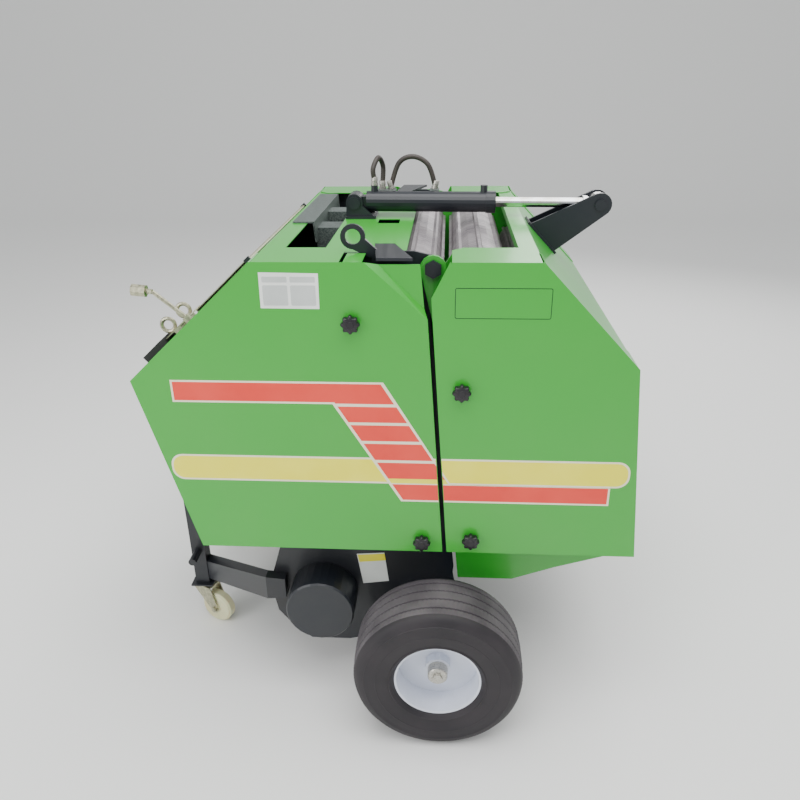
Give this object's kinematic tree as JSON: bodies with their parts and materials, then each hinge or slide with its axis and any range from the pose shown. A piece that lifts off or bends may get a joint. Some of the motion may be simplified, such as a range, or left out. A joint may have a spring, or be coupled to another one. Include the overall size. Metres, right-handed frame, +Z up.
{
  "type": "round baler",
  "caption": "Small round baler with a fixed roller chamber, swing-up rear gate, pick-up reel, hitch frame, parking casters and two pneumatic tyres.",
  "frame": {"origin": "middle of the bounding box in plan, on the floor", "axes": "+X towards the rear gate, +Y towards the machine's right-hand side, +Z up"},
  "size_m": [1.222, 1.32, 1.3182],
  "materials": {
    "green_paint": "gloss enamel",
    "black_paint": "satin enamel",
    "bare_steel": "worn mill finish",
    "zinc_plate": "zinc plated",
    "rod_chrome": "polished",
    "tyre_rubber": "matte",
    "hose_rubber": "satin",
    "rim_white": "gloss enamel",
    "caster_cream": "satin",
    "pad_rubber": "matte"
  },
  "bodies": {
    "chassis": {"chamber_wall_left": "black_paint", "chamber_wall_right": "black_paint", "front_cover_left": "green_paint", "front_cover_right": "green_paint", "front_panel": "green_paint", "top_sheet": "green_paint", "lid_ear_left": "black_paint", "lid_ear_right": "black_paint", "twine_crank": "zinc_plate", "twine_guide": "zinc_plate", "nose_pad": "pad_rubber", "twine_feeder": "zinc_plate", "hinge_bracket_left": "black_paint", "hinge_bracket_right": "black_paint", "cylinder_bracket": "black_paint", "axle": "black_paint", "stripper_bands": "bare_steel", "pickup_cover_left": "black_paint", "pickup_cover_right": "black_paint", "hitch_frame": "black_paint", "side_beam_left": "black_paint", "side_beam_right": "black_paint", "gearbox": "black_paint"},
    "gate": {"gate_wall_left": "green_paint", "gate_wall_right": "green_paint", "gate_cover_left": "green_paint", "gate_cover_right": "green_paint", "gate_sheet": "green_paint", "cylinder_arm": "black_paint"},
    "twine_lid": {"twine_box_lid": "zinc_plate"},
    "front_roller_1": {"front_roller_1": "bare_steel"},
    "front_roller_2": {"front_roller_2": "bare_steel"},
    "front_roller_3": {"front_roller_3": "bare_steel"},
    "front_roller_4": {"front_roller_4": "bare_steel"},
    "front_roller_5": {"front_roller_5": "bare_steel"},
    "gate_roller_1": {"gate_roller_1": "bare_steel"},
    "gate_roller_2": {"gate_roller_2": "bare_steel"},
    "gate_roller_3": {"gate_roller_3": "bare_steel"},
    "gate_roller_4": {"gate_roller_4": "bare_steel"},
    "gate_roller_5": {"gate_roller_5": "bare_steel"},
    "gate_roller_6": {"gate_roller_6": "bare_steel"},
    "pickup_reel": {"pickup_reel": "bare_steel"},
    "pto_shaft": {"pto_input_shaft": "bare_steel"},
    "cylinder_tube": {"cylinder_tube": "black_paint", "port_block": "zinc_plate", "hose_arch": "hose_rubber", "hose_loop": "hose_rubber"},
    "cylinder_rod": {"cylinder_rod": "rod_chrome"},
    "wheel_left": {"rim_left": "rim_white", "tyre_left": "tyre_rubber"},
    "caster_left": {"caster_fork_left": "zinc_plate"},
    "caster_wheel_left": {"caster_wheel_left": "caster_cream"},
    "wheel_right": {"rim_right": "rim_white", "tyre_right": "tyre_rubber"},
    "caster_right": {"caster_fork_right": "zinc_plate"},
    "caster_wheel_right": {"caster_wheel_right": "caster_cream"}
  },
  "joints": [
    {"name": "gate_hinge", "type": "hinge", "parent": "chassis", "child": "gate", "pos_m": [0.134, 0, 1.14], "axis": [0, -1, 0], "range_deg": [0, 65]},
    {"name": "cylinder_foot", "type": "hinge", "parent": "chassis", "child": "cylinder_tube", "pos_m": [-0.078, 0, 1.207], "axis": [0, -1, 0], "range_deg": [0, 45.7]},
    {"name": "rod_slide", "type": "slide", "parent": "cylinder_tube", "child": "cylinder_rod", "axis": [1, 0, -0.0096], "range_m": [-0.1553, 0]},
    {"name": "twine_lid_hinge", "type": "hinge", "parent": "chassis", "child": "twine_lid", "pos_m": [-0.28285, 0, 1.13436], "axis": [0, 1, 0], "range_deg": [0, 100]},
    {"name": "front_roller_1_spin", "type": "hinge", "parent": "chassis", "child": "front_roller_1", "pos_m": [0.0863, 0, 1.09116], "axis": [0, 1, 0], "continuous": true},
    {"name": "front_roller_2_spin", "type": "hinge", "parent": "chassis", "child": "front_roller_2", "pos_m": [-0.06129, 0, 1.01019], "axis": [0, 1, 0], "continuous": true},
    {"name": "front_roller_3_spin", "type": "hinge", "parent": "chassis", "child": "front_roller_3", "pos_m": [-0.14736, 0, 0.86552], "axis": [0, 1, 0], "continuous": true},
    {"name": "front_roller_4_spin", "type": "hinge", "parent": "chassis", "child": "front_roller_4", "pos_m": [-0.1481, 0, 0.69718], "axis": [0, 1, 0], "continuous": true},
    {"name": "front_roller_5_spin", "type": "hinge", "parent": "chassis", "child": "front_roller_5", "pos_m": [0.08358, 0, 0.46951], "axis": [0, 1, 0], "continuous": true},
    {"name": "gate_roller_1_spin", "type": "hinge", "parent": "gate", "child": "gate_roller_1", "pos_m": [0.2357, 0, 1.09116], "axis": [0, 1, 0], "continuous": true},
    {"name": "gate_roller_2_spin", "type": "hinge", "parent": "gate", "child": "gate_roller_2", "pos_m": [0.38329, 0, 1.01019], "axis": [0, 1, 0], "continuous": true},
    {"name": "gate_roller_3_spin", "type": "hinge", "parent": "gate", "child": "gate_roller_3", "pos_m": [0.46936, 0, 0.86552], "axis": [0, 1, 0], "continuous": true},
    {"name": "gate_roller_4_spin", "type": "hinge", "parent": "gate", "child": "gate_roller_4", "pos_m": [0.4701, 0, 0.69718], "axis": [0, 1, 0], "continuous": true},
    {"name": "gate_roller_5_spin", "type": "hinge", "parent": "gate", "child": "gate_roller_5", "pos_m": [0.38529, 0, 0.55176], "axis": [0, 1, 0], "continuous": true},
    {"name": "gate_roller_6_spin", "type": "hinge", "parent": "gate", "child": "gate_roller_6", "pos_m": [0.23842, 0, 0.46951], "axis": [0, 1, 0], "continuous": true},
    {"name": "pickup_reel_spin", "type": "hinge", "parent": "chassis", "child": "pickup_reel", "pos_m": [-0.146, 0, 0.274], "axis": [0, 1, 0], "continuous": true},
    {"name": "pto_spin", "type": "hinge", "parent": "chassis", "child": "pto_shaft", "pos_m": [-0.611, 0, 0.52], "axis": [1, 0, 0], "continuous": true},
    {"name": "wheel_left_spin", "type": "hinge", "parent": "chassis", "child": "wheel_left", "pos_m": [0.154, -0.5775, 0.203], "axis": [0, 1, 0], "continuous": true},
    {"name": "wheel_right_spin", "type": "hinge", "parent": "chassis", "child": "wheel_right", "pos_m": [0.154, 0.5775, 0.203], "axis": [0, 1, 0], "continuous": true},
    {"name": "caster_left_swivel", "type": "hinge", "parent": "chassis", "child": "caster_left", "pos_m": [-0.549, -0.21, 0.1295], "axis": [0, 0, 1], "continuous": true},
    {"name": "caster_wheel_left_spin", "type": "hinge", "parent": "caster_left", "child": "caster_wheel_left", "pos_m": [-0.51141, -0.22368, 0.05], "axis": [0.342, 0.9397, 0], "continuous": true},
    {"name": "caster_right_swivel", "type": "hinge", "parent": "chassis", "child": "caster_right", "pos_m": [-0.549, 0.21, 0.1295], "axis": [0, 0, 1], "continuous": true},
    {"name": "caster_wheel_right_spin", "type": "hinge", "parent": "caster_right", "child": "caster_wheel_right", "pos_m": [-0.51141, 0.22368, 0.05], "axis": [-0.342, 0.9397, 0], "continuous": true}
  ],
  "couplings": [
    {"joint": "cylinder_foot", "follows": "gate_hinge", "ratio": 0.70257},
    {"joint": "rod_slide", "follows": "gate_hinge", "m_per_rad": -0.13681},
    {"joint": "front_roller_2_spin", "follows": "front_roller_1_spin", "ratio": 1},
    {"joint": "front_roller_3_spin", "follows": "front_roller_1_spin", "ratio": 1},
    {"joint": "front_roller_4_spin", "follows": "front_roller_1_spin", "ratio": 1},
    {"joint": "front_roller_5_spin", "follows": "front_roller_1_spin", "ratio": 1},
    {"joint": "gate_roller_1_spin", "follows": "front_roller_1_spin", "ratio": 1},
    {"joint": "gate_roller_2_spin", "follows": "front_roller_1_spin", "ratio": 1},
    {"joint": "gate_roller_3_spin", "follows": "front_roller_1_spin", "ratio": 1},
    {"joint": "gate_roller_4_spin", "follows": "front_roller_1_spin", "ratio": 1},
    {"joint": "gate_roller_5_spin", "follows": "front_roller_1_spin", "ratio": 1},
    {"joint": "gate_roller_6_spin", "follows": "front_roller_1_spin", "ratio": 1}
  ]
}
